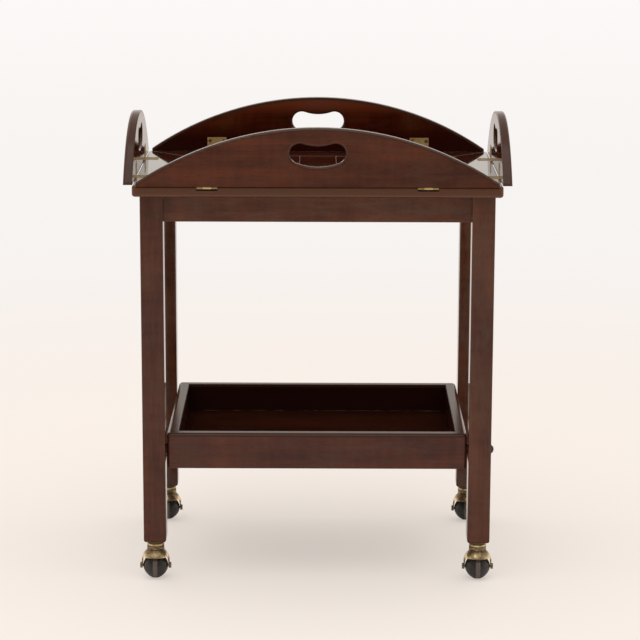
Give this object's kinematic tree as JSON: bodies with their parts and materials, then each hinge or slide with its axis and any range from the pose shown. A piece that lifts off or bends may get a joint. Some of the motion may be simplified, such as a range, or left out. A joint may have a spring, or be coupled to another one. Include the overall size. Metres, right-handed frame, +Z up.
{
  "type": "butlers tray table",
  "caption": "Castored side table with a lift-off butlers tray whose bowed, hand-holed leaves fold down, and a box tray below.",
  "frame": {"origin": "on the floor, under the centre of the table", "axes": "+Z up, +X to the right and -Y towards a viewer who faces the front"},
  "size_m": [0.6394, 0.425, 0.7755],
  "materials": {
    "stand_mahogany": "dark red-brown mahogany under a high-gloss lacquer",
    "leaf_mahogany": "dark red-brown mahogany under a high-gloss lacquer, grain along the leaf",
    "tray_mahogany": "dark mahogany under a mirror-gloss lacquer",
    "shelf_mahogany": "dark mahogany under a high-gloss lacquer",
    "hidden_timber": "plain unpolished timber",
    "dark_button": "turned wood, dark stain and lacquer",
    "antique_brass": "hammered cast brass with dark patina",
    "hinge_brass": "brushed brass, slightly tarnished",
    "steel": "bright zinc plated",
    "wheel_composition": "charcoal moulded composition, satin",
    "spacer_fibre": "dark fibre washer"
  },
  "bodies": {
    "stand": {"leg_front_left": "stand_mahogany", "leg_front_right": "stand_mahogany", "leg_back_left": "stand_mahogany", "leg_back_right": "stand_mahogany", "apron_front": "stand_mahogany", "apron_right": "stand_mahogany", "apron_back": "stand_mahogany", "apron_left": "stand_mahogany", "apron_dowels": "hidden_timber", "corner_blocks": "hidden_timber", "shelf_wall_front": "shelf_mahogany", "shelf_wall_right": "shelf_mahogany", "shelf_wall_back": "shelf_mahogany", "shelf_wall_left": "shelf_mahogany", "shelf_floor": "shelf_mahogany", "shelf_bolts": "steel", "shelf_spacers": "spacer_fibre", "bolt_plugs": "dark_button", "bolt_buttons": "dark_button", "caster_sockets": "antique_brass", "caster_stems": "steel"},
    "tray": {"tray_board_left": "tray_mahogany", "tray_board_centre": "tray_mahogany", "tray_board_right": "tray_mahogany", "tray_edging_front": "tray_mahogany", "tray_edging_right": "tray_mahogany", "tray_edging_back": "tray_mahogany", "tray_edging_left": "tray_mahogany", "tray_battens": "hidden_timber", "batten_screws": "steel", "tray_plates": "hinge_brass", "hinge_pins": "hinge_brass", "tray_plate_screws": "hinge_brass"},
    "leaf_front": {"leaf_front": "leaf_mahogany", "leaf_plates_front": "hinge_brass", "leaf_screws_front": "hinge_brass"},
    "leaf_right": {"leaf_right": "leaf_mahogany", "leaf_plates_right": "hinge_brass", "leaf_screws_right": "hinge_brass"},
    "leaf_back": {"leaf_back": "leaf_mahogany", "leaf_plates_back": "hinge_brass", "leaf_screws_back": "hinge_brass"},
    "leaf_left": {"leaf_left": "leaf_mahogany", "leaf_plates_left": "hinge_brass", "leaf_screws_left": "hinge_brass"},
    "caster_front_left": {"caster_hood_front_left": "antique_brass", "caster_axle_front_left": "antique_brass"},
    "wheel_front_left": {"caster_wheel_front_left": "wheel_composition"},
    "caster_front_right": {"caster_hood_front_right": "antique_brass", "caster_axle_front_right": "antique_brass"},
    "wheel_front_right": {"caster_wheel_front_right": "wheel_composition"},
    "caster_back_left": {"caster_hood_back_left": "antique_brass", "caster_axle_back_left": "antique_brass"},
    "wheel_back_left": {"caster_wheel_back_left": "wheel_composition"},
    "caster_back_right": {"caster_hood_back_right": "antique_brass", "caster_axle_back_right": "antique_brass"},
    "wheel_back_right": {"caster_wheel_back_right": "wheel_composition"}
  },
  "joints": [
    {"name": "tray_lift", "type": "slide", "parent": "stand", "child": "tray", "axis": [0, 0, 1], "range_m": [0, 0.15]},
    {"name": "leaf_front_hinge", "type": "hinge", "parent": "tray", "child": "leaf_front", "pos_m": [0, -0.2, 0.6755], "axis": [1, 0, 0], "range_deg": [0, 90]},
    {"name": "leaf_right_hinge", "type": "hinge", "parent": "tray", "child": "leaf_right", "pos_m": [0.3072, 0, 0.6755], "axis": [0, 1, 0], "range_deg": [0, 90]},
    {"name": "leaf_back_hinge", "type": "hinge", "parent": "tray", "child": "leaf_back", "pos_m": [0, 0.2, 0.6755], "axis": [-1, 0, 0], "range_deg": [0, 90]},
    {"name": "leaf_left_hinge", "type": "hinge", "parent": "tray", "child": "leaf_left", "pos_m": [-0.3072, 0, 0.6755], "axis": [0, -1, 0], "range_deg": [0, 90]},
    {"name": "caster_front_left_swivel", "type": "hinge", "parent": "stand", "child": "caster_front_left", "pos_m": [-0.274, -0.172, 0.058], "axis": [0, 0, 1], "continuous": true},
    {"name": "wheel_front_left_spin", "type": "hinge", "parent": "caster_front_left", "child": "wheel_front_left", "pos_m": [-0.274, -0.177, 0.0215], "axis": [1, 0, 0], "continuous": true},
    {"name": "caster_front_right_swivel", "type": "hinge", "parent": "stand", "child": "caster_front_right", "pos_m": [0.274, -0.172, 0.058], "axis": [0, 0, 1], "continuous": true},
    {"name": "wheel_front_right_spin", "type": "hinge", "parent": "caster_front_right", "child": "wheel_front_right", "pos_m": [0.274, -0.177, 0.0215], "axis": [1, 0, 0], "continuous": true},
    {"name": "caster_back_left_swivel", "type": "hinge", "parent": "stand", "child": "caster_back_left", "pos_m": [-0.274, 0.172, 0.058], "axis": [0, 0, 1], "continuous": true},
    {"name": "wheel_back_left_spin", "type": "hinge", "parent": "caster_back_left", "child": "wheel_back_left", "pos_m": [-0.274, 0.167, 0.0215], "axis": [1, 0, 0], "continuous": true},
    {"name": "caster_back_right_swivel", "type": "hinge", "parent": "stand", "child": "caster_back_right", "pos_m": [0.274, 0.172, 0.058], "axis": [0, 0, 1], "continuous": true},
    {"name": "wheel_back_right_spin", "type": "hinge", "parent": "caster_back_right", "child": "wheel_back_right", "pos_m": [0.274, 0.167, 0.0215], "axis": [1, 0, 0], "continuous": true}
  ]
}
